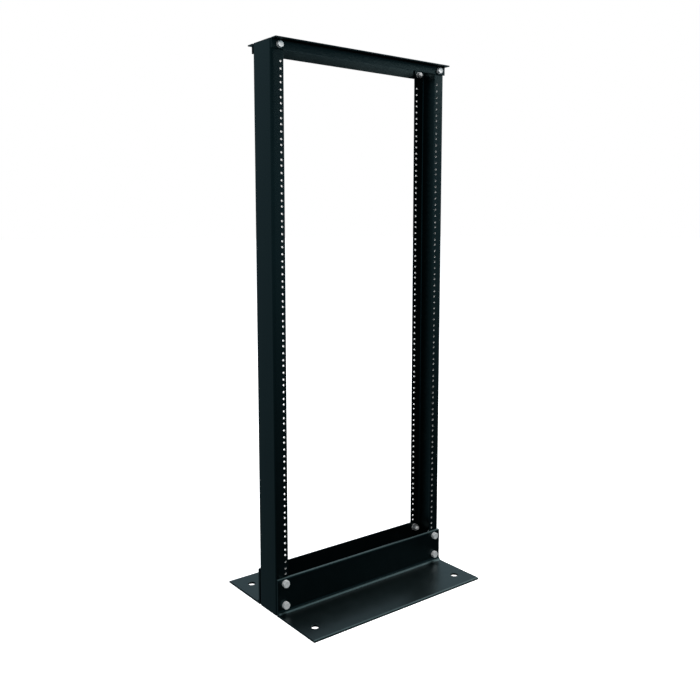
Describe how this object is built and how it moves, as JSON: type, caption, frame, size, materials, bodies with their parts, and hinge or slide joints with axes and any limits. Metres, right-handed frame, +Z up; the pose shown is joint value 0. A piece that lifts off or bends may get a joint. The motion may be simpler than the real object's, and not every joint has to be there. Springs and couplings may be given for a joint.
{
  "type": "two-post equipment rack",
  "caption": "Open two-post rack for 19-inch equipment: two punched channel uprights standing on bolted floor angles and tied by small top angles.",
  "frame": {"origin": "on the floor at the middle of the rack, halfway between the uprights and between the front and rear flanges", "axes": "+Z up, +X from the left upright to the right upright, -Y towards the front"},
  "size_m": [0.5144, 0.3762, 1.3],
  "materials": {
    "black_powder_coat": "satin fine-texture powder coat",
    "zinc_bolts": "bright zinc plate",
    "zinc_washers": "bright zinc plate, slightly duller"
  },
  "bodies": {
    "root": {"front_base_angle": "black_powder_coat", "front_left_lower_bolt": "zinc_bolts", "front_left_lower_flat_washer": "zinc_washers", "front_left_lower_lock_washer": "zinc_washers", "front_left_lower_nut": "zinc_bolts", "front_left_top_bolt": "zinc_bolts", "front_left_top_flat_washer": "zinc_washers", "front_left_top_lock_washer": "zinc_washers", "front_left_top_nut": "zinc_bolts", "front_left_upper_bolt": "zinc_bolts", "front_left_upper_flat_washer": "zinc_washers", "front_left_upper_lock_washer": "zinc_washers", "front_left_upper_nut": "zinc_bolts", "front_right_lower_bolt": "zinc_bolts", "front_right_lower_flat_washer": "zinc_washers", "front_right_lower_lock_washer": "zinc_washers", "front_right_lower_nut": "zinc_bolts", "front_right_top_bolt": "zinc_bolts", "front_right_top_flat_washer": "zinc_washers", "front_right_top_lock_washer": "zinc_washers", "front_right_top_nut": "zinc_bolts", "front_right_upper_bolt": "zinc_bolts", "front_right_upper_flat_washer": "zinc_washers", "front_right_upper_lock_washer": "zinc_washers", "front_right_upper_nut": "zinc_bolts", "front_top_angle": "black_powder_coat", "left_upright": "black_powder_coat", "rear_base_angle": "black_powder_coat", "rear_left_lower_bolt": "zinc_bolts", "rear_left_lower_flat_washer": "zinc_washers", "rear_left_lower_lock_washer": "zinc_washers", "rear_left_lower_nut": "zinc_bolts", "rear_left_top_bolt": "zinc_bolts", "rear_left_top_flat_washer": "zinc_washers", "rear_left_top_lock_washer": "zinc_washers", "rear_left_top_nut": "zinc_bolts", "rear_left_upper_bolt": "zinc_bolts", "rear_left_upper_flat_washer": "zinc_washers", "rear_left_upper_lock_washer": "zinc_washers", "rear_left_upper_nut": "zinc_bolts", "rear_right_lower_bolt": "zinc_bolts", "rear_right_lower_flat_washer": "zinc_washers", "rear_right_lower_lock_washer": "zinc_washers", "rear_right_lower_nut": "zinc_bolts", "rear_right_top_bolt": "zinc_bolts", "rear_right_top_flat_washer": "zinc_washers", "rear_right_top_lock_washer": "zinc_washers", "rear_right_top_nut": "zinc_bolts", "rear_right_upper_bolt": "zinc_bolts", "rear_right_upper_flat_washer": "zinc_washers", "rear_right_upper_lock_washer": "zinc_washers", "rear_right_upper_nut": "zinc_bolts", "rear_top_angle": "black_powder_coat", "right_upright": "black_powder_coat"}
  },
  "joints": []
}
